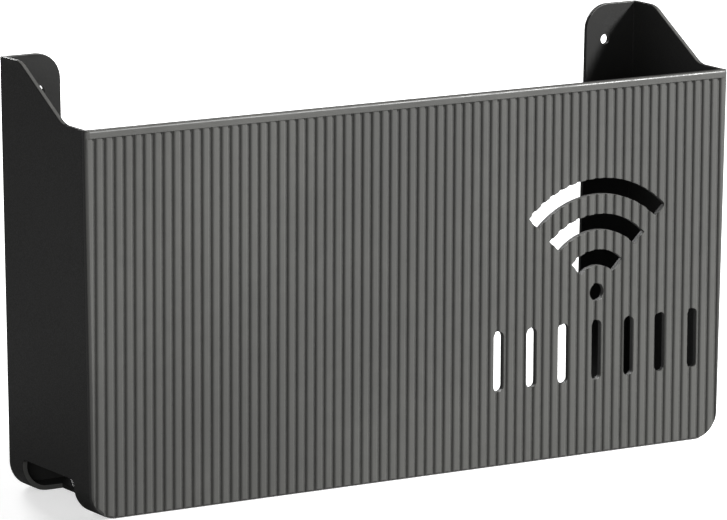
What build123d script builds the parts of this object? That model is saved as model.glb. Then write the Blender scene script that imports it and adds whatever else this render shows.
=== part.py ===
"""Wall rack for a wireless router: a ribbed front, two side brackets and a floor panel.

The frame has X across the rack, Y from the front towards the wall and Z up. The origin is on
the underside of the floor, midway across the rack and midway between the front and the wall.
"""

import os
from math import atan, cos

from build123d import *

# ---- Overall sizes -------------------------------------------------------------------------
mouth_width = 350.0  # across the outside, level with the top edge of the front
depth = 80.0  # from the wall to the rim of the front
front_height = 179.2  # from the underside of the floor to the top edge of the front
ear_rise = 23.4  # how far the ears stand above the front
side_lean = 3.0  # how far each side leans in, from the front's top edge down to the floor
corner_radius = 13.0  # outside radius where a side turns under into the floor

# ---- Walls ---------------------------------------------------------------------------------
wall = 2.4  # side brackets and floor
fit = 0.1  # clearance between pieces that plug together
overshoot = 5.0  # how far a cut runs past the faces that it opens

# ---- Front panel ---------------------------------------------------------------------------
panel_skin = 2.2  # behind the valleys between the ribs
rib_height = 1.0
rib_pitch = 5.0
valley_width = 1.6
shoulder_rounding = 0.9  # rounded corners of each rib's flat crest
rim_height = 3.5  # smooth band along the top edge
rim_proud = 0.4  # how far the rim stands in front of the rib crests
edge_radius = 2.6  # rounding of the front's side and lower edges
rim_radius = 1.2  # rounding of the front's top edge
rail_thickness = 2.0  # rail behind the panel that plugs into the sides and floor
rail_depth = 8.0
rail_drop = 8.0  # from the front's top edge down to the ends of the rail

# ---- Signal cut-outs in the front ----------------------------------------------------------
sign_inset = 74.0  # from the side at the mouth to the middle of the signal
sign_height = 78.4  # centre of the arcs above the floor's underside
dot_radius = 4.3
arc_width = 7.8
arc_inner_radii = (12.8, 29.9, 47.0)
arc_span = 90.0  # degrees, centred on straight up
slot_count = 7
slot_spacing = 18.4
slot_width = 5.8
slot_length = 29.0
slot_bottom = 36.0  # lower end of the slots above the floor's underside

# ---- Side brackets -------------------------------------------------------------------------
ear_flat = 18.2  # level top of an ear, from the wall
ear_run = 39.8  # the slope from the ear down to the front's height, measured along Y
ear_radius = 13.0
shoulder_radius = 12.0  # hollow curve at the foot of the slope
flange_width = 30.0  # strip that lies against the wall
flange_radius = 12.0  # its top inner corner
foot_width = 40.0  # how far a bracket reaches under the rack
hole_radius = 2.5
hole_inset = 19.0  # from the outside of a bracket, at the mouth's width
hole_drop = 17.5  # from the top of the ear

# ---- Cable notches -------------------------------------------------------------------------
notch_front = 17.9  # from the rim of the front to the notch
notch_length = 48.8
notch_height = 16.0
notch_reach = 20.5  # how far the notch reaches in under the rack
notch_radius = 3.0

# ---- Joints between the floor and the brackets ---------------------------------------------
lap = 10.0  # half-lap width
peg_radius = 2.2
peg_places = (-20.0, 0.0, 20.0)  # along the lap, from the middle of the depth

# ---- Snap ridges on the rail ---------------------------------------------------------------
snap_radius = 0.8
snap_length = 14.0
snap_setback = 4.5  # from the back of the panel to the middle of the ridge
side_snap_count = 3
side_snap_spacing = 48.0
floor_snap_count = 4
floor_snap_spacing = 62.0

# ---- Places that follow from the sizes -----------------------------------------------------
wall_y = depth / 2
rim_y = -depth / 2
crest_y = rim_y + rim_proud
valley_y = crest_y + rib_height
panel_back_y = valley_y + panel_skin
ear_top = front_height + ear_rise
rib_top = front_height - rim_height
lean_rate = side_lean / front_height


def half_width(height, inset=0.0):
    """Half the width at a height, on the surface that lies inset inside the outer skin."""
    outside = mouth_width / 2 - lean_rate * (front_height - height)
    return outside - inset / cos(atan(lean_rate))


floor_half = half_width(0)
foot_end = floor_half - foot_width  # inner end of a bracket's full thickness
notch_end = floor_half - notch_reach
hole_x = mouth_width / 2 - hole_inset
hole_z = ear_top - hole_drop
sign_x = mouth_width / 2 - sign_inset
snap_y = panel_back_y + snap_setback
mouth_plane = Plane.XZ.offset(-wall_y)  # on the wall, facing forward
panel_plane = Plane.XZ.offset(-panel_back_y)  # on the back of the front panel


def tub_section(inset, top):
    """Front view of the rack's body up to a height, inset inside its outer skin."""
    with BuildSketch() as section:
        with BuildLine():
            Polyline(
                (-half_width(top, inset), top),
                (-half_width(inset, inset), inset),
                (half_width(inset, inset), inset),
                (half_width(top, inset), top),
                close=True,
            )
        make_face()
        fillet(section.vertices().group_by(Axis.Y)[0], corner_radius - inset)
    return section.sketch


def signal_arc(inner_radius):
    """One arc of the signal, centred on the origin."""
    start = 90 - arc_span / 2
    with BuildSketch() as arc:
        with BuildLine():
            outside = CenterArc((0, 0), inner_radius + arc_width, start, arc_span)
            inside = CenterArc((0, 0), inner_radius, start, arc_span)
            Line(outside @ 0, inside @ 0)
            Line(outside @ 1, inside @ 1)
        make_face()
    return arc.sketch


def rib_clearance():
    """Plan of the space in front of the ribs, which have flat crests and rounded shoulders."""
    count = int(mouth_width // rib_pitch) + 2
    left = -count * rib_pitch / 2
    front = rim_y - overshoot
    outline = [(left, front), (left, valley_y)]
    for index in range(count):
        start = left + index * rib_pitch + valley_width / 2
        end = start + rib_pitch - valley_width
        outline += [(start, valley_y), (start, crest_y), (end, crest_y), (end, valley_y)]
    outline += [(-left, valley_y), (-left, front)]
    with BuildSketch() as clearance:
        with BuildLine():
            Polyline(*outline, close=True)
        make_face()
        fillet(clearance.vertices().group_by(Axis.Y)[1], shoulder_rounding)
    return clearance.sketch


def side_snaps():
    """Places of the ridges up one side, each with its Z axis along the leaning wall."""
    face = wall + fit
    middle = (front_height + corner_radius) / 2
    heights = [
        middle + (index - (side_snap_count - 1) / 2) * side_snap_spacing
        for index in range(side_snap_count)
    ]
    return [
        Plane(origin=(half_width(height, face), snap_y, height), z_dir=(lean_rate, 0, 1)).location
        for height in heights
    ]


def floor_snaps():
    """Places of the ridges along the floor, each with its Z axis across the rack."""
    return [
        Plane(
            origin=((index - (floor_snap_count - 1) / 2) * floor_snap_spacing, snap_y, wall + fit),
            z_dir=(1, 0, 0),
        ).location
        for index in range(floor_snap_count)
    ]


# ---- Front panel ---------------------------------------------------------------------------
with BuildPart() as front_panel:
    with BuildSketch(panel_plane):
        add(tub_section(0, front_height))
    extrude(amount=panel_back_y - rim_y)
    rim_edges = front_panel.faces().sort_by(Axis.Y)[0].edges()
    fillet(rim_edges.sort_by(Axis.Z)[:-1], edge_radius)
    top_face = front_panel.faces().sort_by(Axis.Z)[-1]
    fillet(top_face.edges().sort_by(Axis.Y)[0], rim_radius)

    # Ribs, from just under the rim to the lower edge
    with BuildSketch(Plane.XY.offset(-overshoot)):
        add(rib_clearance())
    extrude(amount=rib_top + overshoot, mode=Mode.SUBTRACT)

    # Signal arcs, their dot and the row of upright slots
    with BuildSketch(panel_plane):
        with Locations((sign_x, sign_height)):
            Circle(dot_radius)
            for radius in arc_inner_radii:
                add(signal_arc(radius))
        with Locations((sign_x, slot_bottom + slot_length / 2)):
            with GridLocations(slot_spacing, slot_length, slot_count, 1):
                SlotOverall(slot_length, slot_width, rotation=90)
    extrude(amount=panel_back_y - rim_y + overshoot, mode=Mode.SUBTRACT)

    # Rail that plugs into the brackets and the floor
    with BuildSketch(panel_plane):
        add(tub_section(wall + fit, front_height - rail_drop))
        add(tub_section(wall + fit + rail_thickness, front_height), mode=Mode.SUBTRACT)
    extrude(amount=-rail_depth)
    with Locations(*side_snaps(), *floor_snaps()):
        Cylinder(snap_radius, snap_length)
    with Locations(*[place.mirror(Plane.YZ) for place in side_snaps()]):
        Cylinder(snap_radius, snap_length)


# ---- Right side bracket --------------------------------------------------------------------
with BuildPart() as right_bracket:
    with BuildSketch(mouth_plane):
        add(tub_section(0, ear_top))
        add(tub_section(wall, ear_top + overshoot), mode=Mode.SUBTRACT)
        with Locations((foot_end, 0)):
            Rectangle(mouth_width, ear_top + overshoot, align=Align.MIN, mode=Mode.INTERSECT)
    extrude(amount=wall_y - panel_back_y)

    # Flange against the wall
    with BuildSketch(mouth_plane):
        with BuildLine():
            Polyline(
                (half_width(0, flange_width), 0),
                (half_width(ear_top, flange_width), ear_top),
                (mouth_width, ear_top),
                (mouth_width, 0),
                close=True,
            )
        make_face()
        add(tub_section(0, ear_top), mode=Mode.INTERSECT)
        top_corners = vertices().group_by(Axis.Y)[-1]
        fillet(top_corners.sort_by(Axis.X)[0], flange_radius)
    extrude(amount=wall)

    # Side outline with its ear
    with BuildSketch(Plane.YZ) as outline:
        with BuildLine():
            Polyline(
                (wall_y, 0),
                (wall_y, ear_top),
                (wall_y - ear_flat, ear_top),
                (wall_y - ear_flat - ear_run, front_height),
                (panel_back_y, front_height),
                (panel_back_y, 0),
                close=True,
            )
        make_face()
        slope_top = outline.vertices().sort_by_distance((wall_y - ear_flat, ear_top))[0]
        fillet(slope_top, ear_radius)
        shoulder = (wall_y - ear_flat - ear_run, front_height)
        slope_foot = outline.vertices().sort_by_distance(shoulder)[0]
        fillet(slope_foot, shoulder_radius)
    extrude(amount=mouth_width, mode=Mode.INTERSECT)

    # Cable notch through the side and the foot
    with BuildSketch(Plane.YZ.offset(notch_end)) as notch:
        with Locations((rim_y + notch_front, notch_height)):
            Rectangle(
                notch_length,
                notch_height + overshoot,
                align=(Align.MIN, Align.MAX),
            )
        fillet(notch.vertices().group_by(Axis.Y)[-1], notch_radius)
    extrude(amount=mouth_width, mode=Mode.SUBTRACT)

    # Half-lap under the floor, with its pegs
    with BuildSketch(Plane.XY):
        with Locations((foot_end, (wall_y + panel_back_y) / 2)):
            Rectangle(lap, wall_y - panel_back_y, align=(Align.MAX, Align.CENTER))
    extrude(amount=wall / 2)
    with BuildSketch(Plane.XY.offset(wall / 2)):
        with Locations(*[(foot_end - lap / 2, place) for place in peg_places]):
            Circle(peg_radius)
    extrude(amount=wall / 2)

    # Screw hole and the pockets for the snap ridges
    with Locations(Plane(origin=(hole_x, wall_y, hole_z), z_dir=(0, 1, 0))):
        Hole(hole_radius)
    with Locations(*side_snaps()):
        Cylinder(snap_radius + fit, snap_length + 2 * fit, mode=Mode.SUBTRACT)


# ---- Left side bracket ---------------------------------------------------------------------
with BuildPart() as left_bracket:
    add(right_bracket.part)
    mirror(about=Plane.YZ, mode=Mode.REPLACE)


# ---- Floor panel ---------------------------------------------------------------------------
with BuildPart() as floor_panel:
    with BuildSketch(Plane.XY):
        with Locations((0, (wall_y + panel_back_y) / 2)):
            Rectangle(2 * (foot_end - lap - fit), wall_y - panel_back_y)
    extrude(amount=wall)
    with BuildSketch(Plane.XY.offset(wall / 2)):
        with Locations((0, (wall_y + panel_back_y) / 2)):
            Rectangle(2 * (foot_end - fit), wall_y - panel_back_y)
    extrude(amount=wall / 2)
    with BuildSketch(Plane.XY.offset(wall / 2)):
        for side in (-1, 1):
            with Locations(*[(side * (foot_end - lap / 2), place) for place in peg_places]):
                Circle(peg_radius + fit)
    extrude(amount=wall / 2, mode=Mode.SUBTRACT)
    with Locations(*floor_snaps()):
        Cylinder(snap_radius + fit, snap_length + 2 * fit, mode=Mode.SUBTRACT)


# ---- Export --------------------------------------------------------------------------------
front_panel.part.label = "front_panel"
right_bracket.part.label = "right_bracket"
left_bracket.part.label = "left_bracket"
floor_panel.part.label = "floor_panel"

os.makedirs("parts", exist_ok=True)
export_step(front_panel.part, "parts/front_panel.step")
export_step(right_bracket.part, "parts/right_bracket.step")
export_step(left_bracket.part, "parts/left_bracket.step")
export_step(floor_panel.part, "parts/floor_panel.step")
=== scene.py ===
"""Looks of a wall rack for a wireless router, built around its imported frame.

Every length is in metres, in the frame of the design: X across the rack, Y from the front
towards the wall and Z up.
"""

import logging
import math
from collections.abc import Callable
from dataclasses import dataclass
from enum import Enum

import bmesh
import bpy
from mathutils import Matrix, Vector


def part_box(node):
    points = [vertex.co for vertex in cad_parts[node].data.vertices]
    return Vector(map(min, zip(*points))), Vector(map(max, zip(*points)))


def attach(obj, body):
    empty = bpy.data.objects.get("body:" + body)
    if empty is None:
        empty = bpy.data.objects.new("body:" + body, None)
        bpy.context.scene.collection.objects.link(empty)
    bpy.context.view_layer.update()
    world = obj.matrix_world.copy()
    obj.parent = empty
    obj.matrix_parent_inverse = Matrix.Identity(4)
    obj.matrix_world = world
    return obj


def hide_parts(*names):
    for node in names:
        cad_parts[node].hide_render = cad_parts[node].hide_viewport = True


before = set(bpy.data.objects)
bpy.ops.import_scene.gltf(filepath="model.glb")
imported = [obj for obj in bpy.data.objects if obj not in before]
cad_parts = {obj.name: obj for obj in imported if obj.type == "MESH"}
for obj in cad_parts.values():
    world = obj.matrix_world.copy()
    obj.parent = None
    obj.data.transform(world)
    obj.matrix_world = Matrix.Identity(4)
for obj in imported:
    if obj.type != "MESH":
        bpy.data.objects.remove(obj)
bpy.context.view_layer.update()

LOG = logging.getLogger("wall_rack")
BODY = "root"
OVERSHOOT = 0.006  # how far a cutter runs past the faces that it opens
HAIR = 0.00001  # a distance that counts as no distance
SHARP = math.radians(35)  # edges sharper than this are softened
FLAT = math.radians(0.2)  # facets that meet flatter than this become one
FINE_SIDES = 48  # sides of a round hole that shows
RIDGE_SIDES = 16  # sides of a snap ridge

Obj = bpy.types.Object
Socket = bpy.types.NodeSocket
Tree = bpy.types.NodeTree
Point = tuple[float, float, float]
Colour = tuple[float, float, float, float]

UP = Vector((0, 0, 1))
BACK = Vector((0, 1, 0))
SIDEWAYS = Vector((1, 0, 0))


class Side(Enum):
    """The two ends of the rack, as seen from the front."""

    LEFT = "left"
    RIGHT = "right"


class Pick(Enum):
    """What an edit picks."""

    VERTS = "VERT"
    EDGES = "EDGE"
    FACES = "FACE"


class Blend(Enum):
    """What a mix node mixes."""

    COLOUR = "RGBA"
    NUMBER = "FLOAT"


# ---- Bench: the hand tools that every piece is made with ------------------------------------
class Bench:
    """Modelling tools that select by place, work in edit mode and leave one object selected."""

    @staticmethod
    def select(*pieces: Obj) -> None:
        """Selects some objects alone, and makes the first one active.

        Args:
            *pieces: The objects.
        """
        bpy.ops.object.select_all(action="DESELECT")
        for piece in pieces:
            piece.select_set(True)
        bpy.context.view_layer.objects.active = pieces[0]

    @staticmethod
    def name_new(name: str) -> Obj:
        """Names the object that a primitive has just made, and puts its place in its mesh.

        Args:
            name: The object's name.

        Returns:
            The object.
        """
        piece = bpy.context.active_object
        Bench.select(piece)
        bpy.ops.object.transform_apply(location=True, rotation=True, scale=True)
        piece.name = piece.data.name = name
        return piece

    @staticmethod
    def block(name: str, low: Point, high: Point) -> Obj:
        """Adds a block between two corners.

        Args:
            name: The object's name.
            low: The lowest corner.
            high: The highest corner.

        Returns:
            The block, with its place in its mesh.
        """
        centre = [(a + b) / 2 for a, b in zip(low, high)]
        spans = [b - a for a, b in zip(low, high)]
        bpy.ops.mesh.primitive_cube_add(size=1, location=centre, scale=spans)
        return Bench.name_new(name)

    @staticmethod
    def rod(name: str, centre: Point, radius: float, length: float, along: Vector,
            sides: int = 32) -> Obj:
        """Adds a round rod.

        Args:
            name: The object's name.
            centre: The rod's middle.
            radius: Its radius.
            length: Its length.
            along: The direction of its axis.
            sides: How many sides it has.

        Returns:
            The rod, with its place in its mesh.
        """
        turn = Vector(along).to_track_quat("Z", "Y").to_euler()
        bpy.ops.mesh.primitive_cylinder_add(
            vertices=sides, radius=radius, depth=length, location=centre, rotation=turn
        )
        return Bench.name_new(name)

    @staticmethod
    def pick(piece: Obj, what: Pick, test: Callable[..., bool]) -> int:
        """Enters edit mode with only the elements that pass a test selected.

        Args:
            piece: The object to edit.
            what: Whether vertices, edges or faces are picked.
            test: Says whether one of them is wanted.

        Returns:
            How many were picked.
        """
        Bench.select(piece)
        bpy.ops.object.mode_set(mode="EDIT")
        bpy.ops.mesh.select_mode(type=what.value)
        bpy.ops.mesh.select_all(action="DESELECT")
        mesh = bmesh.from_edit_mesh(piece.data)
        pool = {Pick.VERTS: mesh.verts, Pick.EDGES: mesh.edges, Pick.FACES: mesh.faces}[what]
        found = [item for item in pool if test(item)]
        for item in found:
            item.select_set(True)
        mesh.select_flush_mode()
        bmesh.update_edit_mesh(piece.data)
        return len(found)

    @staticmethod
    def done() -> None:
        """Leaves edit mode."""
        bpy.ops.object.mode_set(mode="OBJECT")

    @staticmethod
    def round_edges(piece: Obj, test: Callable[..., bool], offset: float,
                    segments: int) -> None:
        """Rounds the edges that pass a test.

        Args:
            piece: The object to round.
            test: Says whether an edge is rounded.
            offset: How far back from the edge the rounding starts.
            segments: How many facets it has.
        """
        count = Bench.pick(piece, Pick.EDGES, test)
        if not count:
            raise ValueError(f"{piece.name}: no edge to round")
        bpy.ops.mesh.bevel(
            offset=offset, segments=segments, affect="EDGES", clamp_overlap=False
        )
        Bench.done()

    @staticmethod
    def combine(piece: Obj, other: Obj, how: str) -> None:
        """Cuts another shape from a piece, or adds it, and removes the other shape.

        Args:
            piece: The piece that is kept.
            other: The shape that is used up.
            how: DIFFERENCE, UNION or INTERSECT.
        """
        step = piece.modifiers.new(how.lower(), "BOOLEAN")
        step.operation = how
        step.solver = "EXACT"
        step.object = other
        Bench.select(piece)
        bpy.ops.object.modifier_apply(modifier=step.name)
        bpy.data.objects.remove(other)

    @staticmethod
    def keep_side(piece: Obj, through: Point, facing: Point) -> None:
        """Saws a piece through a plane and keeps the part that the plane faces.

        Args:
            piece: The piece to saw.
            through: A point on the plane.
            facing: The plane's normal, on the side that is kept.
        """
        Bench.pick(piece, Pick.FACES, lambda face: True)
        bpy.ops.mesh.bisect(plane_co=through, plane_no=facing, use_fill=True, clear_inner=True)
        Bench.done()

    @staticmethod
    def clean(piece: Obj) -> None:
        """Merges doubled points, joins flat facets and points every face outwards.

        Args:
            piece: The piece to clean.
        """
        Bench.pick(piece, Pick.FACES, lambda face: True)
        bpy.ops.mesh.remove_doubles(threshold=HAIR / 2)
        bpy.ops.mesh.dissolve_limited(angle_limit=FLAT)
        bpy.ops.mesh.select_all(action="SELECT")
        bpy.ops.mesh.normals_make_consistent(inside=False)
        Bench.done()

    @staticmethod
    def soften(piece: Obj, width: float, segments: int = 2) -> None:
        """Breaks a piece's sharp edges with a small rounding.

        Args:
            piece: The piece to soften.
            width: The width of the rounding.
            segments: How many facets it has.
        """
        step = piece.modifiers.new("soften", "BEVEL")
        step.limit_method = "ANGLE"
        step.angle_limit = SHARP
        step.width = width
        step.segments = segments
        step.use_clamp_overlap = False
        Bench.select(piece)
        bpy.ops.object.modifier_apply(modifier=step.name)

    @staticmethod
    def smooth(piece: Obj, angle: float = 32.0) -> None:
        """Shades a piece smoothly, keeps its broad faces flat and its sharp edges sharp.

        Args:
            piece: The piece to shade.
            angle: Edges sharper than this, in degrees, stay sharp.
        """
        Bench.select(piece)
        bpy.ops.object.shade_smooth_by_angle(angle=math.radians(angle))
        step = piece.modifiers.new("broad_faces", "WEIGHTED_NORMAL")
        step.mode = "FACE_AREA"
        step.keep_sharp = True
        bpy.ops.object.modifier_apply(modifier=step.name)

    @staticmethod
    def repeat(piece: Obj, count: int, step: Point) -> None:
        """Repeats a piece in a row, within its own mesh.

        Args:
            piece: The piece to repeat.
            count: How many there are in the end.
            step: From each one to the next.
        """
        row = piece.modifiers.new("row", "ARRAY")
        row.count = count
        row.use_relative_offset = False
        row.use_constant_offset = True
        row.constant_offset_displace = step
        Bench.select(piece)
        bpy.ops.object.modifier_apply(modifier=row.name)

    @staticmethod
    def join(pieces: list[Obj]) -> Obj:
        """Joins pieces that don't touch into the first one's mesh.

        Args:
            pieces: The pieces.

        Returns:
            The first one.
        """
        Bench.select(*pieces)
        bpy.ops.object.join()
        return pieces[0]


def runs_along(edge: bmesh.types.BMEdge, axis: int) -> bool:
    """Says whether an edge runs along X (0), Y (1) or Z (2)."""
    run = edge.verts[1].co - edge.verts[0].co
    return abs(run[axis]) > 0.99 * run.length


def middle(edge: bmesh.types.BMEdge) -> Vector:
    """The middle of an edge."""
    return (edge.verts[0].co + edge.verts[1].co) / 2


def near(value: float, target: float, reach: float = 0.0001) -> bool:
    """Says whether a value lies within reach of a target."""
    return abs(value - target) <= reach


# ---- Sizes that the pieces share ------------------------------------------------------------
@dataclass(frozen=True)
class RackSizes:
    """The rack's outer form, read from the frame, and the walls that all its pieces share."""

    mouth_half: float
    front_top: float
    ear_top: float
    rim_y: float
    panel_back_y: float
    rail_back_y: float
    wall_y: float
    lap_end: float
    side_lean: float = 0.003
    corner_radius: float = 0.013
    wall: float = 0.0024
    fit: float = 0.0001
    corner_facets: int = 14
    lap: float = 0.010
    peg_radius: float = 0.0022
    peg_places: tuple[float, ...] = (-0.020, 0.0, 0.020)
    snap_radius: float = 0.0008
    snap_length: float = 0.014
    snap_setback: float = 0.0045
    side_snap_spacing: float = 0.048
    floor_snap_places: tuple[float, ...] = (-0.093, -0.031, 0.031, 0.093)

    @classmethod
    def from_frame(cls) -> "RackSizes":
        """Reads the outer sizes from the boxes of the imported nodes.

        Returns:
            The sizes.
        """
        panel_low, panel_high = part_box("front_panel")
        bracket_low, bracket_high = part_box("right_bracket")
        lean_rate = cls.side_lean / panel_high.z
        rise = bracket_high.z - panel_high.z
        return cls(
            mouth_half=bracket_high.x - lean_rate * rise,
            front_top=panel_high.z,
            ear_top=bracket_high.z,
            rim_y=panel_low.y,
            panel_back_y=bracket_low.y,
            rail_back_y=panel_high.y,
            wall_y=bracket_high.y,
            lap_end=bracket_low.x,
        )

    @property
    def lean_rate(self) -> float:
        """How far each side leans out for its rise."""
        return self.side_lean / self.front_top

    @property
    def lean(self) -> float:
        """The angle by which the sides lean out, in radians."""
        return math.atan(self.lean_rate)

    @property
    def foot_end(self) -> float:
        """Where a bracket's foot reaches its full thickness."""
        return self.lap_end + self.lap

    @property
    def side_direction(self) -> Vector:
        """Up along the right side, which leans outwards."""
        return Vector((self.lean_rate, 0, 1)).normalized()

    def half_width(self, height: float, inset: float = 0.0) -> float:
        """Half the rack's width at a height."""
        outside = self.mouth_half - self.lean_rate * (self.front_top - height)
        return outside - inset / math.cos(self.lean)

    def leaning_block(self, name: str, inset: float, depth: tuple[float, float],
                      heights: tuple[float, float]) -> Obj:
        """Adds a block whose two sides lean as the rack's sides do.

        Args:
            name: The object's name.
            inset: How far its sides lie inside the outer skin.
            depth: Its lowest and highest Y.
            heights: Its lowest and highest Z.

        Returns:
            The block.
        """
        half_top = self.half_width(heights[1], inset)
        half_low = self.half_width(heights[0], inset)
        piece = Bench.block(
            name, (-half_top, depth[0], heights[0]), (half_top, depth[1], heights[1])
        )
        Bench.pick(piece, Pick.VERTS, lambda vert: near(vert.co.z, heights[0]))
        bpy.ops.transform.resize(
            value=(half_low / half_top, 1, 1), center_override=(0, 0, heights[0])
        )
        Bench.done()
        return piece

    def tub_block(self, name: str, inset: float, depth: tuple[float, float],
                  top: float) -> Obj:
        """Adds a leaning block with the rack's round lower corners.

        Args:
            name: The object's name.
            inset: How far it lies inside the outer skin, below as well as at the sides.
            depth: Its lowest and highest Y.
            top: Its height.

        Returns:
            The block.
        """
        piece = self.leaning_block(name, inset, depth, (inset, top))
        turn = math.pi / 2 - self.lean
        Bench.round_edges(
            piece,
            lambda edge: runs_along(edge, 1) and near(middle(edge).z, inset),
            (self.corner_radius - inset) * math.tan(turn / 2),
            self.corner_facets,
        )
        return piece

    def snap_rods(self, name: str, swell: float, sides: tuple[Side, ...],
                  on_floor: bool) -> Obj:
        """Adds the rods that stand for the snap ridges, or cut the pockets for them.

        Args:
            name: The object's name.
            swell: How much larger than the ridges they are.
            sides: The sides that have them.
            on_floor: Whether the floor has them too.

        Returns:
            One object that holds all the rods.
        """
        face = self.wall + self.fit
        y = self.panel_back_y + self.snap_setback
        radius, length = self.snap_radius + swell, self.snap_length + 2 * swell
        centre_z = (self.front_top + self.corner_radius) / 2
        rods = []
        for side in sides:
            hand = 1 if side is Side.RIGHT else -1
            along = Vector((hand * self.side_direction.x, 0, self.side_direction.z))
            for step in (-1, 0, 1):
                z = centre_z + step * self.side_snap_spacing
                place = (hand * self.half_width(z, face), y, z)
                rods.append(Bench.rod(name, place, radius, length, along, RIDGE_SIDES))
        if on_floor:
            for x in self.floor_snap_places:
                place = (x, y, face)
                rods.append(Bench.rod(name, place, radius, length, SIDEWAYS, RIDGE_SIDES))
        return Bench.join(rods)


# ---- Shader node groups ---------------------------------------------------------------------
class Effect:
    """A shader node group under construction, with helpers that add and link its nodes."""

    def __init__(self, name: str, inputs: dict[str, tuple[str, float]],
                 outputs: tuple[str, ...]) -> None:
        """Makes the group and its sockets.

        Args:
            name: The group's name.
            inputs: Socket name to (socket type, default).
            outputs: The names of its float outputs.
        """
        self.tree = bpy.data.node_groups.new(name, "ShaderNodeTree")
        for label, (kind, default) in inputs.items():
            socket = self.tree.interface.new_socket(label, in_out="INPUT", socket_type=kind)
            if kind == "NodeSocketFloat":
                socket.default_value = default
        for label in outputs:
            self.tree.interface.new_socket(label, in_out="OUTPUT", socket_type="NodeSocketFloat")
        self.source = self.tree.nodes.new("NodeGroupInput")
        self.sink = self.tree.nodes.new("NodeGroupOutput")

    def add(self, kind: str, **settings: object) -> bpy.types.Node:
        """Adds a node.

        Args:
            kind: Its type.
            **settings: Its properties.

        Returns:
            The node.
        """
        node = self.tree.nodes.new(kind)
        for key, value in settings.items():
            setattr(node, key, value)
        return node

    def link(self, start: Socket, end: Socket) -> None:
        """Links two sockets."""
        self.tree.links.new(start, end)

    def given(self, label: str) -> Socket:
        """One of the group's inputs."""
        return self.source.outputs[label]

    def give(self, label: str, value: Socket) -> None:
        """Puts a value out of the group."""
        self.link(value, self.sink.inputs[label])

    def part(self, vector: Socket, axis: str) -> Socket:
        """Takes one coordinate of a vector.

        Args:
            vector: The vector.
            axis: X, Y or Z.

        Returns:
            The coordinate.
        """
        node = self.add("ShaderNodeSeparateXYZ")
        self.link(vector, node.inputs["Vector"])
        return node.outputs[axis]

    def math(self, operation: str, first: object, second: object,
             clamp: bool = False) -> Socket:
        """Adds a Math node.

        Args:
            operation: What it works out.
            first: A socket or a number.
            second: A socket or a number.
            clamp: Whether the result stays between 0 and 1.

        Returns:
            Its result.
        """
        node = self.add("ShaderNodeMath", operation=operation, use_clamp=clamp)
        for socket, value in zip(node.inputs, (first, second)):
            if isinstance(value, Socket):
                self.link(value, socket)
            else:
                socket.default_value = value
        return node.outputs[0]

    def noise(self, scale: object, detail: float, roughness: float) -> Socket:
        """Adds a noise on the group's Vector.

        Args:
            scale: A socket or a number.
            detail: How many finer layers it has.
            roughness: How strong they are.

        Returns:
            Its value, around one half.
        """
        node = self.add("ShaderNodeTexNoise")
        self.link(self.given("Vector"), node.inputs["Vector"])
        if isinstance(scale, Socket):
            self.link(scale, node.inputs["Scale"])
        else:
            node.inputs["Scale"].default_value = scale
        node.inputs["Detail"].default_value = detail
        node.inputs["Roughness"].default_value = roughness
        return node.outputs["Fac"]

    def spread(self, value: Socket, low: float, high: float) -> Socket:
        """Stretches a range of values to between 0 and 1, with soft ends.

        Args:
            value: The value to stretch.
            low: What becomes 0.
            high: What becomes 1.

        Returns:
            The stretched value.
        """
        node = self.add("ShaderNodeMapRange", interpolation_type="SMOOTHSTEP")
        self.link(value, node.inputs["Value"])
        node.inputs["From Min"].default_value = low
        node.inputs["From Max"].default_value = high
        return node.outputs["Result"]


def spark_grain_group() -> Tree:
    """The fine pebbled texture that a spark-eroded mould leaves: its height and its pits.

    Returns:
        The group.
    """
    effect = Effect(
        "spark_grain",
        {"Vector": ("NodeSocketVector", 0.0), "Scale": ("NodeSocketFloat", 1500.0)},
        ("Height", "Pits"),
    )
    finer = 1.7
    cell_share = 0.6
    scale = effect.given("Scale")
    cells = effect.add("ShaderNodeTexVoronoi", feature="SMOOTH_F1")
    effect.link(effect.given("Vector"), cells.inputs["Vector"])
    effect.link(scale, cells.inputs["Scale"])
    cells.inputs["Smoothness"].default_value = 0.6
    fine = effect.noise(effect.math("MULTIPLY", scale, finer), 2.0, 0.5)
    height = effect.math(
        "ADD",
        effect.math("MULTIPLY", cells.outputs["Distance"], cell_share),
        effect.math("MULTIPLY", fine, 1 - cell_share),
    )
    effect.give("Height", height)
    effect.give("Pits", effect.spread(height, 0.3, 0.62))
    return effect.tree


def tone_drift_group() -> Tree:
    """Slow drifts of tone across a moulding, from flow and cooling.

    Returns:
        The group.
    """
    effect = Effect(
        "tone_drift",
        {"Vector": ("NodeSocketVector", 0.0), "Scale": ("NodeSocketFloat", 9.0)},
        ("Mask",),
    )
    finer = 11.0
    broad_share = 0.7
    scale = effect.given("Scale")
    broad = effect.noise(scale, 2.0, 0.45)
    narrow = effect.noise(effect.math("MULTIPLY", scale, finer), 3.0, 0.6)
    mixed = effect.math(
        "ADD",
        effect.math("MULTIPLY", broad, broad_share),
        effect.math("MULTIPLY", narrow, 1 - broad_share),
    )
    effect.give("Mask", effect.spread(mixed, 0.36, 0.64))
    return effect.tree


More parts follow.
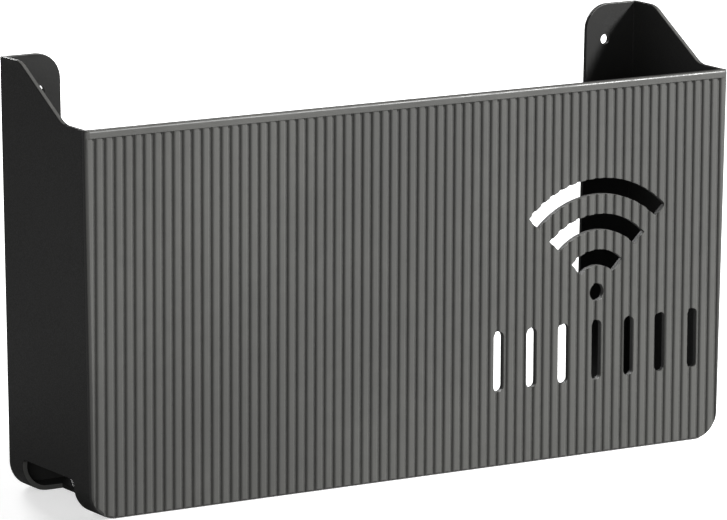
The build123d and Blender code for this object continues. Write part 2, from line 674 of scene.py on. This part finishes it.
def settled_dust_group() -> Tree:
    """Dust that has settled on faces that look up, in soft patches.

    Returns:
        The group.
    """
    effect = Effect(
        "settled_dust",
        {"Vector": ("NodeSocketVector", 0.0), "Amount": ("NodeSocketFloat", 0.3)},
        ("Mask",),
    )
    patch_scale, speck_scale = 60.0, 1900.0
    speck_weight = 0.6
    surface = effect.add("ShaderNodeNewGeometry")
    upward = effect.spread(effect.part(surface.outputs["Normal"], "Z"), 0.55, 0.98)
    patches = effect.spread(effect.noise(patch_scale, 4.0, 0.62), 0.38, 0.7)
    specks = effect.spread(effect.noise(speck_scale, 1.0, 0.5), 0.6, 0.72)
    specks = effect.math("MULTIPLY", specks, speck_weight)
    cover = effect.math("ADD", patches, specks, clamp=True)
    mask = effect.math("MULTIPLY", upward, cover)
    effect.give("Mask", effect.math("MULTIPLY", mask, effect.given("Amount"), clamp=True))
    return effect.tree


def handling_rub_group() -> Tree:
    """The polish that hands leave near the top of a piece, fading downwards in streaks.

    Returns:
        The group.
    """
    effect = Effect(
        "handling_rub",
        {
            "Vector": ("NodeSocketVector", 0.0),
            "Top": ("NodeSocketFloat", 0.2),
            "Reach": ("NodeSocketFloat", 0.004),
        },
        ("Mask",),
    )
    streak_scale = 120.0
    height = effect.part(effect.given("Vector"), "Z")
    below = effect.math("SUBTRACT", effect.given("Top"), height)
    share = effect.math("DIVIDE", below, effect.given("Reach"))
    near_top = effect.math("SUBTRACT", 1.0, share, clamp=True)
    streaks = effect.spread(effect.noise(streak_scale, 3.0, 0.6), 0.35, 0.65)
    effect.give("Mask", effect.math("MULTIPLY", near_top, streaks))
    return effect.tree


def recess_shade_group() -> Tree:
    """How far behind the front a point lies, as a mask of painted shade: 0 on the front face, 1
    where a darker tone stands in for shade on cut-out walls, valley floors and the back.

    Returns:
        The group.
    """
    effect = Effect(
        "painted_recess_shade",
        {
            "Vector": ("NodeSocketVector", 0.0),
            "Start": ("NodeSocketFloat", -0.038),
            "Fade": ("NodeSocketFloat", 0.0008),
        },
        ("Mask",),
    )
    waver_scale, waver = 700.0, 0.0003
    uneven = effect.math("MULTIPLY", effect.noise(waver_scale, 2.0, 0.5), waver)
    back = effect.part(effect.given("Vector"), "Y")
    behind = effect.math("ADD", effect.math("SUBTRACT", back, effect.given("Start")), uneven)
    effect.give("Mask", effect.math("DIVIDE", behind, effect.given("Fade"), clamp=True))
    return effect.tree


# ---- Finishes -------------------------------------------------------------------------------
def mix(tree: Tree, kind: Blend, mask: Socket, first: object,
        second: object) -> Socket:
    """Adds a node that mixes two colours or two numbers.

    Args:
        tree: The material's nodes.
        kind: Whether colours or numbers are mixed.
        mask: Where 0 shows the first one and 1 the second.
        first: A socket, a colour or a number.
        second: A socket, a colour or a number.

    Returns:
        The mixture.
    """
    node = tree.nodes.new("ShaderNodeMix")
    node.data_type = kind.value
    socket_type = "RGBA" if kind is Blend.COLOUR else "VALUE"
    sockets = [socket for socket in node.inputs if socket.type == socket_type][-2:]
    for socket, value in zip(sockets, (first, second)):
        if isinstance(value, Socket):
            tree.links.new(value, socket)
        else:
            socket.default_value = value
    tree.links.new(mask, node.inputs["Factor"])
    return next(socket for socket in node.outputs if socket.enabled)


@dataclass(frozen=True)
class MouldedPlastic:
    """Plastic from a spark-eroded mould, dressed by the shared effects."""

    name: str
    tone: Colour = (0.062, 0.062, 0.058, 1.0)
    deep_tone: Colour = (0.050, 0.050, 0.047, 1.0)
    dust_tone: Colour = (0.24, 0.23, 0.21, 1.0)
    roughness: float = 0.46
    pit_roughness: float = 0.58
    rub_roughness: float = 0.34
    grain_scale: float = 1500.0
    grain_depth: float = 0.00003
    grain_strength: float = 0.55
    drift_scale: float = 9.0
    dust: float = 0.10
    rub_top: float = 0.2
    rub_reach: float = 0.004
    # The darker tone and where it starts: painted shade on faces behind the front face.
    recess_shade_tone: Colour | None = None
    recess_shade_start: float = -0.03855
    recess_shade_fade: float = 0.0004
    specular: float = 0.5
    refraction: float = 1.5

    def build(self, groups: dict[str, Tree]) -> bpy.types.Material:
        """Makes the material.

        Args:
            groups: The shared effects by name.

        Returns:
            The material.
        """
        material = bpy.data.materials.new(self.name)
        material.use_nodes = True
        material.diffuse_color = self.tone
        tree = material.node_tree
        shader = tree.nodes["Principled BSDF"]
        place = tree.nodes.new("ShaderNodeTexCoord").outputs["Object"]

        def effect(name: str, **values: float) -> bpy.types.Node:
            """Places a shared effect on the object's own coordinates.

            Args:
                name: The effect's name.
                **values: Its inputs.

            Returns:
                Its node.
            """
            node = tree.nodes.new("ShaderNodeGroup")
            node.node_tree = groups[name]
            tree.links.new(place, node.inputs["Vector"])
            for label, value in values.items():
                node.inputs[label].default_value = value
            return node

        grain = effect("spark_grain", Scale=self.grain_scale)
        drift = effect("tone_drift", Scale=self.drift_scale)
        dust = effect("settled_dust", Amount=self.dust)
        rub = effect("handling_rub", Top=self.rub_top, Reach=self.rub_reach)

        mask = drift.outputs["Mask"]
        colour = mix(tree, Blend.COLOUR, mask, self.deep_tone, self.tone)
        # Painted shade: the colour goes darker on faces behind the front face, in the cut-outs, on
        # the valley floors and on the back.
        if self.recess_shade_tone is not None:
            depth = effect("painted_recess_shade", Start=self.recess_shade_start, Fade=self.recess_shade_fade)
            colour = mix(tree, Blend.COLOUR, depth.outputs["Mask"], colour, self.recess_shade_tone)
        colour = mix(tree, Blend.COLOUR, dust.outputs["Mask"], colour, self.dust_tone)
        tree.links.new(colour, shader.inputs["Base Color"])

        pits = grain.outputs["Pits"]
        gloss = mix(tree, Blend.NUMBER, pits, self.roughness, self.pit_roughness)
        gloss = mix(tree, Blend.NUMBER, rub.outputs["Mask"], gloss, self.rub_roughness)
        tree.links.new(gloss, shader.inputs["Roughness"])

        bump = tree.nodes.new("ShaderNodeBump")
        bump.inputs["Strength"].default_value = self.grain_strength
        bump.inputs["Distance"].default_value = self.grain_depth
        tree.links.new(grain.outputs["Height"], bump.inputs["Height"])
        tree.links.new(bump.outputs["Normal"], shader.inputs["Normal"])
        shader.inputs["IOR"].default_value = self.refraction
        shader.inputs["Specular IOR Level"].default_value = self.specular
        return material


# ---- Front panel ----------------------------------------------------------------------------
@dataclass
class FrontPanel:
    """The ribbed front, with its rim, signal cut-outs and the rail that plugs into the body."""

    rack: RackSizes
    rim_height: float = 0.0035
    rim_proud: float = 0.0004
    rib_height: float = 0.001
    rib_pitch: float = 0.005
    valley_width: float = 0.0016
    shoulder: float = 0.0009
    shoulder_facets: int = 5
    draft: float = 0.00004
    edge_radius: float = 0.0026
    edge_facets: int = 6
    rim_radius: float = 0.0012
    rim_facets: int = 5
    rail_thickness: float = 0.002
    rail_drop: float = 0.008
    sign_inset: float = 0.074
    sign_height: float = 0.0784
    dot_radius: float = 0.0043
    arc_width: float = 0.0078
    arc_inner_radii: tuple[float, ...] = (0.0128, 0.0299, 0.047)
    arc_steps: int = 32
    slot_count: int = 7
    slot_spacing: float = 0.0184
    slot_width: float = 0.0058
    slot_length: float = 0.029
    slot_bottom: float = 0.036

    @property
    def sign_x(self) -> float:
        """Where the signal stands across the rack."""
        return self.rack.mouth_half - self.sign_inset

    def slab(self) -> Obj:
        """Makes the smooth panel with its rounded rim, before the ribs are cut.

        Returns:
            The panel.
        """
        rack = self.rack
        piece = rack.tub_block(
            "front_panel_piece", 0.0, (rack.rim_y, rack.panel_back_y), rack.front_top
        )
        front = rack.rim_y
        Bench.round_edges(
            piece,
            lambda edge: near(middle(edge).y, front) and middle(edge).z < rack.front_top - HAIR,
            self.edge_radius,
            self.edge_facets,
        )
        Bench.round_edges(
            piece,
            lambda edge: near(middle(edge).z, rack.front_top)
            and middle(edge).y < rack.rim_y + self.edge_radius + HAIR
            and not runs_along(edge, 1),
            self.rim_radius,
            self.rim_facets,
        )
        return piece

    def rib_profile(self) -> list[tuple[float, float]]:
        """Draws the plan of one rib, from valley to valley.

        Returns:
            Its points, as (along the pitch, back from the crest).
        """
        wall_at = self.valley_width / 2
        rise = [(wall_at - self.draft, self.rib_height)]
        for step in range(self.shoulder_facets + 1):
            angle = math.pi / 2 * step / self.shoulder_facets
            rise.append((
                wall_at + self.shoulder * (1 - math.cos(angle)),
                self.shoulder * (1 - math.sin(angle)),
            ))
        return rise + [(self.rib_pitch - along, back) for along, back in reversed(rise)]

    def rib_space(self) -> Obj:
        """Makes the space in front of the ribs, as a sheet in their form extruded forwards.

        Returns:
            The cutter.
        """
        rack = self.rack
        profile = self.rib_profile()
        count = round(2 * rack.mouth_half / self.rib_pitch) + 2
        left = -count * self.rib_pitch / 2
        crest_y = rack.rim_y + self.rim_proud
        columns = [
            (left + rib * self.rib_pitch + along, crest_y + back)
            for rib in range(count)
            for along, back in profile
        ]
        bpy.ops.mesh.primitive_grid_add(
            x_subdivisions=len(columns) - 1, y_subdivisions=1, size=1
        )
        piece = Bench.name_new("rib_space")
        Bench.pick(piece, Pick.VERTS, lambda vert: True)
        sheet = bmesh.from_edit_mesh(piece.data)
        top = rack.front_top - self.rim_height
        for vert in sheet.verts:
            column = round((vert.co.x + 0.5) * (len(columns) - 1))
            x, y = columns[column]
            vert.co = (x, y, top if vert.co.y > 0 else -OVERSHOOT)
        bmesh.update_edit_mesh(piece.data)
        front = rack.rim_y - OVERSHOOT
        bpy.ops.mesh.extrude_region_move(
            TRANSFORM_OT_translate={"value": (0, -2 * OVERSHOOT, 0)}
        )
        bpy.ops.transform.resize(value=(1, 0, 1), center_override=(0, front, 0))
        bpy.ops.mesh.select_all(action="SELECT")
        bpy.ops.mesh.normals_make_consistent(inside=False)
        Bench.done()
        return piece

    def signal_arc(self, inner_radius: float) -> Obj:
        """Makes the cutter for one arc of the signal: a strip spun through a right angle.

        Args:
            inner_radius: The radius of its inner edge.

        Returns:
            The cutter.
        """
        rack = self.rack
        start = math.radians(45)
        reach = inner_radius + self.arc_width / 2
        depth = rack.panel_back_y - rack.rim_y + 2 * OVERSHOOT
        bpy.ops.mesh.primitive_plane_add(
            size=1,
            location=(
                self.sign_x + reach * math.cos(start),
                (rack.panel_back_y + rack.rim_y) / 2,
                self.sign_height + reach * math.sin(start),
            ),
            rotation=(0, -start, 0),
        )
        bpy.context.active_object.scale = (self.arc_width, depth, 1)
        piece = Bench.name_new("signal_arc")
        Bench.pick(piece, Pick.FACES, lambda face: True)
        bpy.ops.mesh.spin(
            steps=self.arc_steps,
            angle=math.pi / 2,
            center=(self.sign_x, 0, self.sign_height),
            axis=(0, 1, 0),
        )
        bpy.ops.mesh.select_all(action="SELECT")
        bpy.ops.mesh.remove_doubles(threshold=HAIR)
        bpy.ops.mesh.normals_make_consistent(inside=False)
        Bench.done()
        return piece

    def upright_slots(self) -> Obj:
        """Makes the cutter for the row of upright slots, with round ends.

        Returns:
            The cutter.
        """
        rack = self.rack
        left = self.sign_x - (self.slot_count - 1) / 2 * self.slot_spacing
        half = self.slot_width / 2
        piece = Bench.block(
            "upright_slots",
            (left - half, rack.rim_y - OVERSHOOT, self.slot_bottom),
            (left + half, rack.panel_back_y + OVERSHOOT, self.slot_bottom + self.slot_length),
        )
        Bench.round_edges(piece, lambda edge: runs_along(edge, 1), half * 0.995, 8)
        Bench.repeat(piece, self.slot_count, (self.slot_spacing, 0, 0))
        return piece

    def cutters(self) -> Obj:
        """Makes one cutter for the arcs, their dot and the slots.

        Returns:
            The cutter.
        """
        rack = self.rack
        dot = Bench.rod(
            "signal_dot",
            (self.sign_x, (rack.panel_back_y + rack.rim_y) / 2, self.sign_height),
            self.dot_radius,
            rack.panel_back_y - rack.rim_y + 2 * OVERSHOOT,
            BACK,
            FINE_SIDES,
        )
        arcs = [self.signal_arc(radius) for radius in self.arc_inner_radii]
        return Bench.join([dot, *arcs, self.upright_slots()])

    def rail(self) -> Obj:
        """Makes the U-shaped rail behind the panel, with its snap ridges.

        Returns:
            The rail.
        """
        rack = self.rack
        face = rack.wall + rack.fit
        sunk = rack.panel_back_y - self.rib_height / 2
        piece = rack.tub_block(
            "rail", face, (sunk, rack.rail_back_y), rack.front_top - self.rail_drop
        )
        hollow = rack.tub_block(
            "rail_hollow",
            face + self.rail_thickness,
            (sunk - OVERSHOOT, rack.rail_back_y + OVERSHOOT),
            rack.front_top,
        )
        Bench.combine(piece, hollow, "DIFFERENCE")
        ridges = rack.snap_rods("snap_ridges", 0.0, (Side.LEFT, Side.RIGHT), True)
        Bench.combine(piece, ridges, "UNION")
        return piece

    def build(self) -> Obj:
        """Makes the whole panel.

        Returns:
            The finished piece.
        """
        piece = self.slab()
        Bench.combine(piece, self.rib_space(), "DIFFERENCE")
        Bench.combine(piece, self.cutters(), "DIFFERENCE")
        Bench.combine(piece, self.rail(), "UNION")
        Bench.clean(piece)
        Bench.smooth(piece)
        return piece


# ---- Side brackets --------------------------------------------------------------------------
@dataclass
class Bracket:
    """A side wall with its ear, wall flange, foot, cable notch and screw hole."""

    rack: RackSizes
    ear_flat: float = 0.0182
    ear_run: float = 0.0398
    ear_radius: float = 0.013
    shoulder_radius: float = 0.012
    flange_width: float = 0.030
    flange_radius: float = 0.012
    hole_radius: float = 0.0025
    hole_inset: float = 0.019
    hole_drop: float = 0.0175
    notch_front: float = 0.0179
    notch_length: float = 0.0488
    notch_height: float = 0.016
    notch_reach: float = 0.0205
    notch_radius: float = 0.003
    notch_facets: int = 6
    slope_facets: int = 8
    flange_facets: int = 10
    edge_softness: float = 0.0004
    # Margin for the faces that get the painted highlight, below the front's top and above the notch.
    highlight_margin: float = 0.001

    def shell(self) -> Obj:
        """Makes the right end of the body: side, foot and flange, with an open front and top.

        Returns:
            The shell.
        """
        rack = self.rack
        piece = rack.tub_block(
            "right_bracket_piece", 0.0, (rack.panel_back_y, rack.wall_y), rack.ear_top
        )
        bay = rack.tub_block(
            "bay",
            rack.wall,
            (rack.panel_back_y - OVERSHOOT, rack.wall_y - rack.wall),
            rack.ear_top + OVERSHOOT,
        )
        Bench.combine(piece, bay, "DIFFERENCE")
        opening = rack.leaning_block(
            "opening",
            self.flange_width,
            (rack.wall_y - 2 * rack.wall, rack.wall_y + OVERSHOOT),
            (rack.wall, rack.ear_top + OVERSHOOT),
        )
        Bench.combine(piece, opening, "DIFFERENCE")
        Bench.keep_side(piece, (rack.lap_end, 0, 0), (1, 0, 0))
        Bench.clean(piece)
        inner_top = rack.half_width(rack.ear_top, self.flange_width)
        Bench.round_edges(
            piece,
            lambda edge: runs_along(edge, 1)
            and near(middle(edge).z, rack.ear_top)
            and near(middle(edge).x, inner_top),
            self.flange_radius * math.tan((math.pi / 2 + rack.lean) / 2),
            self.flange_facets,
        )
        return piece

    def cut_slope(self, piece: Obj) -> None:
        """Cuts the slope from the ear down to the front's height, and rounds its two ends.

        Args:
            piece: The bracket.
        """
        rack = self.rack
        rise = rack.ear_top - rack.front_top
        foot_y = rack.wall_y - self.ear_flat - self.ear_run
        top_y = rack.wall_y - self.ear_flat
        high = rack.ear_top + OVERSHOOT
        above = Bench.block(
            "above_slope",
            (0, rack.panel_back_y - OVERSHOOT, rack.front_top),
            (rack.mouth_half + 2 * OVERSHOOT, foot_y, high),
        )
        Bench.pick(above, Pick.VERTS, lambda vert: near(vert.co.y, foot_y) and near(vert.co.z, high))
        bpy.ops.transform.translate(value=(0, self.ear_run * (rise + OVERSHOOT) / rise, 0))
        Bench.done()
        Bench.combine(piece, above, "DIFFERENCE")
        tangent = math.tan(math.atan(rise / self.ear_run) / 2)
        ends = (
            (top_y, rack.ear_top, self.ear_radius),
            (foot_y, rack.front_top, self.shoulder_radius),
        )
        for y, z, radius in ends:
            Bench.round_edges(
                piece,
                lambda edge: near(middle(edge).y, y) and near(middle(edge).z, z),
                radius * tangent,
                self.slope_facets,
            )

    def cut_notch(self, piece: Obj) -> None:
        """Cuts the cable notch through the side, the round corner and the foot.

        Args:
            piece: The bracket.
        """
        rack = self.rack
        front = rack.rim_y + self.notch_front
        inner = rack.half_width(0) - self.notch_reach
        notch = Bench.block(
            "notch",
            (inner, front, -OVERSHOOT),
            (rack.mouth_half + OVERSHOOT, front + self.notch_length, self.notch_height),
        )
        Bench.round_edges(
            notch,
            lambda edge: runs_along(edge, 0) and near(middle(edge).z, self.notch_height),
            self.notch_radius,
            self.notch_facets,
        )
        Bench.combine(piece, notch, "DIFFERENCE")

    def cut_lap(self, piece: Obj) -> None:
        """Thins the end of the foot to the half-lap that carries the floor.

        Args:
            piece: The bracket.
        """
        rack = self.rack
        upper = Bench.block(
            "upper_half",
            (0, rack.panel_back_y - OVERSHOOT, rack.wall / 2),
            (rack.foot_end, rack.wall_y + OVERSHOOT, rack.wall + OVERSHOOT),
        )
        Bench.combine(piece, upper, "DIFFERENCE")

    def fit_out(self, piece: Obj) -> None:
        """Adds the pegs, and cuts the screw hole and the pockets for the snap ridges.

        Args:
            piece: The bracket.
        """
        rack = self.rack
        sunk = rack.wall * 0.1
        pegs = [
            Bench.rod(
                "peg",
                (rack.foot_end - rack.lap / 2, place, rack.wall * 0.75 - sunk / 2),
                rack.peg_radius,
                rack.wall / 2 + sunk,
                UP,
            )
            for place in rack.peg_places
        ]
        Bench.combine(piece, Bench.join(pegs), "UNION")
        hole = Bench.rod(
            "hole",
            (rack.mouth_half - self.hole_inset, rack.wall_y, rack.ear_top - self.hole_drop),
            self.hole_radius,
            4 * rack.wall,
            BACK,
            FINE_SIDES,
        )
        Bench.combine(piece, hole, "DIFFERENCE")
        pockets = rack.snap_rods("pockets", rack.fit, (Side.RIGHT,), False)
        Bench.combine(piece, pockets, "DIFFERENCE")

    def gets_edge_highlight(self, face: bmesh.types.BMFace) -> bool:
        """Says whether a face is a narrow edge on the ear's slope or at the notch's far end, which
        gets a painted highlight.

        Args:
            face: A face of the bracket.

        Returns:
            Whether it has the second material, a lighter tone that paints a highlight.
        """
        rack = self.rack
        centre = face.calc_center_median()
        normal = face.normal
        if centre.z > rack.front_top - self.highlight_margin and abs(normal.x) < 0.3:
            if -0.95 < normal.y < -0.2:
                return True
        notch_back = rack.rim_y + self.notch_front + self.notch_length
        at_notch = near(centre.y, notch_back, 2 * self.edge_softness)
        return at_notch and centre.z < self.notch_height + self.highlight_margin and normal.y < -0.5

    def paint_edge_highlights(self, piece: Obj) -> None:
        """Gives the second material, a lighter tone that paints the highlight of edges catching
        light, to these edges.

        Args:
            piece: The bracket.
        """
        found = Bench.pick(piece, Pick.FACES, self.gets_edge_highlight)
        piece.active_material_index = 1
        bpy.ops.object.material_slot_assign()
        Bench.done()
        LOG.info("%s: %d highlight_painted faces", piece.name, found)

    def build(self) -> Obj:
        """Makes the right bracket.

        Returns:
            The finished piece.
        """
        piece = self.shell()
        self.cut_slope(piece)
        self.cut_notch(piece)
        self.cut_lap(piece)
        Bench.clean(piece)
        Bench.soften(piece, self.edge_softness)
        self.fit_out(piece)
        Bench.clean(piece)
        Bench.smooth(piece)
        return piece

    @staticmethod
    def mirrored(piece: Obj, name: str) -> Obj:
        """Makes the opposite bracket as a mirrored copy with its own mesh.

        Args:
            piece: The bracket to copy.
            name: The copy's name.

        Returns:
            The copy.
        """
        Bench.select(piece)
        bpy.ops.object.duplicate()
        copy = bpy.context.active_object
        copy.scale = (-1, 1, 1)
        Bench.name_new(name)
        Bench.pick(copy, Pick.FACES, lambda face: True)
        bpy.ops.mesh.normals_make_consistent(inside=False)
        Bench.done()
        Bench.smooth(copy)
        return copy


# ---- Floor panel ----------------------------------------------------------------------------
@dataclass
class FloorPanel:
    """The plate between the two feet, lapped over them and held by their pegs."""

    rack: RackSizes
    edge_softness: float = 0.0003

    def build(self) -> Obj:
        """Makes the floor panel.

        Returns:
            The finished piece.
        """
        rack = self.rack
        reach = rack.foot_end - rack.fit
        piece = Bench.block(
            "floor_panel_piece",
            (-reach, rack.panel_back_y, 0),
            (reach, rack.wall_y, rack.wall),
        )
        inner = rack.lap_end - rack.fit
        for hand in (-1, 1):
            ends = sorted((hand * inner, hand * (reach + OVERSHOOT)))
            rebate = Bench.block(
                "rebate",
                (ends[0], rack.panel_back_y - OVERSHOOT, -OVERSHOOT),
                (ends[1], rack.wall_y + OVERSHOOT, rack.wall / 2),
            )
            Bench.combine(piece, rebate, "DIFFERENCE")
        Bench.clean(piece)
        Bench.soften(piece, self.edge_softness)
        holes = [
            Bench.rod(
                "peg_hole",
                (hand * (rack.foot_end - rack.lap / 2), place, rack.wall),
                rack.peg_radius + rack.fit,
                2 * rack.wall,
                UP,
            )
            for hand in (-1, 1)
            for place in rack.peg_places
        ]
        Bench.combine(piece, Bench.join(holes), "DIFFERENCE")
        Bench.combine(piece, rack.snap_rods("pockets", rack.fit, (), True), "DIFFERENCE")
        Bench.clean(piece)
        Bench.smooth(piece)
        return piece


# ---- Studio ---------------------------------------------------------------------------------
@dataclass(frozen=True)
class SoftLight:
    """A rectangular studio light that faces a point on the rack."""

    name: str
    place: Point
    aim: Point
    size: tuple[float, float]
    power: float

    def build(self) -> Obj:
        """Makes the light.

        Returns:
            The light.
        """
        data = bpy.data.lights.new(self.name, "AREA")
        data.shape = "RECTANGLE"
        data.size, data.size_y = self.size
        data.energy = self.power
        light = bpy.data.objects.new(self.name, data)
        bpy.context.scene.collection.objects.link(light)
        light.location = self.place
        facing = Vector(self.aim) - Vector(self.place)
        light.rotation_euler = facing.to_track_quat("-Z", "Y").to_euler()
        return light


@dataclass
class Studio:
    """The floor, the lights, the sky and the camera."""

    azimuth: float = -31.62
    elevation: float = 10.95
    distance: float = 2.639
    aim: Point = (-0.0047, 0.0, 0.09765)
    lens: float = 278.4
    roll: float = 0.22
    floor_reach: float = 12.0
    floor_gap: float = 0.0002
    mottle_scale: float = 2.0
    mottle_gain: float = 1.04
    floor_tone: Colour = (0.80, 0.80, 0.80, 1.0)
    floor_bounce: Colour = (0.30, 0.30, 0.30, 1.0)
    floor_glow: float = 0.55
    sky_fill: float = 0.12
    key_power: float = 66.0
    fill_power: float = 12.5
    back_power: float = 45.0

    def floor(self) -> Obj:
        """Makes the pale floor, which shows brighter than the light that it throws back.

        Returns:
            The floor.
        """
        bpy.ops.mesh.primitive_plane_add(size=2 * self.floor_reach, location=(0, 0, -self.floor_gap))
        floor = Bench.name_new("studio_floor")
        material = bpy.data.materials.new("pale_floor")
        material.use_nodes = True
        tree = material.node_tree
        shader = tree.nodes["Principled BSDF"]
        place = tree.nodes.new("ShaderNodeTexCoord")
        noise = tree.nodes.new("ShaderNodeTexNoise")
        noise.inputs["Scale"].default_value = self.mottle_scale
        tree.links.new(place.outputs["Object"], noise.inputs["Vector"])
        paler = [self.mottle_gain * value for value in self.floor_tone]
        mottle = mix(tree, Blend.COLOUR, noise.outputs["Fac"], self.floor_tone, paler)
        seen = tree.nodes.new("ShaderNodeLightPath").outputs["Is Camera Ray"]
        tone = mix(tree, Blend.COLOUR, seen, self.floor_bounce, mottle)
        tree.links.new(tone, shader.inputs["Base Color"])
        glow = tree.nodes.new("ShaderNodeMath")
        glow.operation = "MULTIPLY"
        glow.inputs[1].default_value = self.floor_glow
        tree.links.new(seen, glow.inputs[0])
        shader.inputs["Emission Color"].default_value = (1.0, 1.0, 1.0, 1.0)
        tree.links.new(glow.outputs[0], shader.inputs["Emission Strength"])
        shader.inputs["Roughness"].default_value = 0.95
        shader.inputs["Specular IOR Level"].default_value = 0.1
        floor.data.materials.append(material)
        return floor

    def sky(self) -> None:
        """Fills the room with a dim, even light behind a white backdrop."""
        world = bpy.data.worlds.new("studio_sky")
        world.use_nodes = True
        tree = world.node_tree
        background = tree.nodes["Background"]
        background.inputs["Color"].default_value = (1.0, 1.0, 1.0, 1.0)
        seen = tree.nodes.new("ShaderNodeLightPath")
        strength = tree.nodes.new("ShaderNodeMapRange")
        strength.inputs["To Min"].default_value = self.sky_fill
        strength.inputs["To Max"].default_value = 1.0
        tree.links.new(seen.outputs["Is Camera Ray"], strength.inputs["Value"])
        tree.links.new(strength.outputs["Result"], background.inputs["Strength"])
        bpy.context.scene.world = world
        bpy.context.scene.view_settings.view_transform = "Standard"

    def lights(self) -> None:
        """Places the soft lights."""
        front = (0.0, -0.04, 0.1)
        for light in (
            SoftLight("key", (1.02, -0.86, 0.98), front, (0.22, 0.22), self.key_power),
            SoftLight("fill", (-1.05, -1.15, 0.35), front, (0.7, 0.7), self.fill_power),
            SoftLight("back", (0.38, 1.9, 0.5), front, (0.5, 0.7), self.back_power),
        ):
            light.build()

    def camera(self) -> Obj:
        """Places the camera.

        Returns:
            The camera.
        """
        a, e = math.radians(self.azimuth), math.radians(self.elevation)
        back = Vector((math.sin(a) * math.cos(e), -math.cos(a) * math.cos(e), math.sin(e)))
        data = bpy.data.cameras.new("camera")
        data.lens = self.lens
        data.sensor_width = 36.0
        data.clip_end = 50.0
        camera = bpy.data.objects.new("camera", data)
        bpy.context.scene.collection.objects.link(camera)
        camera.location = Vector(self.aim) + back * self.distance
        camera.rotation_euler = (-back).to_track_quat("-Z", "Y").to_euler()
        camera.rotation_euler.rotate_axis("Z", math.radians(self.roll))
        bpy.context.scene.camera = camera
        return camera


def place_piece(piece: Obj, node: str, material: bpy.types.Material | None) -> None:
    """Dresses a finished piece and puts it in the frame in place of its CAD node.

    Args:
        piece: The finished piece.
        node: The CAD node that it stands for.
        material: Its finish, or None where it is dressed already.
    """
    if material is not None:
        piece.data.materials.clear()
        piece.data.materials.append(material)
    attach(piece, BODY)
    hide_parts(node)
    LOG.info("%s: %d faces", piece.name, len(piece.data.polygons))


def main() -> None:
    """Builds the rack and its studio."""
    logging.basicConfig(level=logging.INFO, format="%(name)s %(message)s")
    rack = RackSizes.from_frame()
    groups = {
        "spark_grain": spark_grain_group(),
        "tone_drift": tone_drift_group(),
        "settled_dust": settled_dust_group(),
        "handling_rub": handling_rub_group(),
        "painted_recess_shade": recess_shade_group(),
    }
    # The front gets painted shade: a darker tone on its cut-out walls, valley floors and back.
    front_finish = MouldedPlastic(
        "front_plastic", rub_top=rack.front_top, recess_shade_tone=(0.013, 0.013, 0.0125, 1.0)
    )
    body_finish = MouldedPlastic(
        "body_plastic",
        tone=(0.012, 0.012, 0.0115, 1.0),
        deep_tone=(0.0095, 0.0095, 0.009, 1.0),
        dust_tone=(0.07, 0.068, 0.063, 1.0),
        rub_top=rack.ear_top,
        rub_reach=0.003,
        specular=0.32,
    )
    # A lighter tone on the slope and notch edges: a painted highlight where these edges catch light.
    edge_highlight_finish = MouldedPlastic(
        "painted_edge_highlight_plastic",
        tone=(0.058, 0.058, 0.055, 1.0),
        deep_tone=(0.042, 0.042, 0.040, 1.0),
        rub_top=rack.ear_top,
    )
    studio = Studio()
    studio.camera()
    body_plastic = body_finish.build(groups)
    panel = FrontPanel(rack).build()
    place_piece(panel, "front_panel", front_finish.build(groups))
    bracket = Bracket(rack)
    right = bracket.build()
    right.data.materials.append(body_plastic)
    right.data.materials.append(edge_highlight_finish.build(groups))
    bracket.paint_edge_highlights(right)
    left = Bracket.mirrored(right, "left_bracket_piece")
    place_piece(right, "right_bracket", None)
    place_piece(left, "left_bracket", None)
    place_piece(FloorPanel(rack).build(), "floor_panel", body_plastic)
    studio.floor()
    studio.sky()
    studio.lights()


if __name__ == "__main__":
    main()
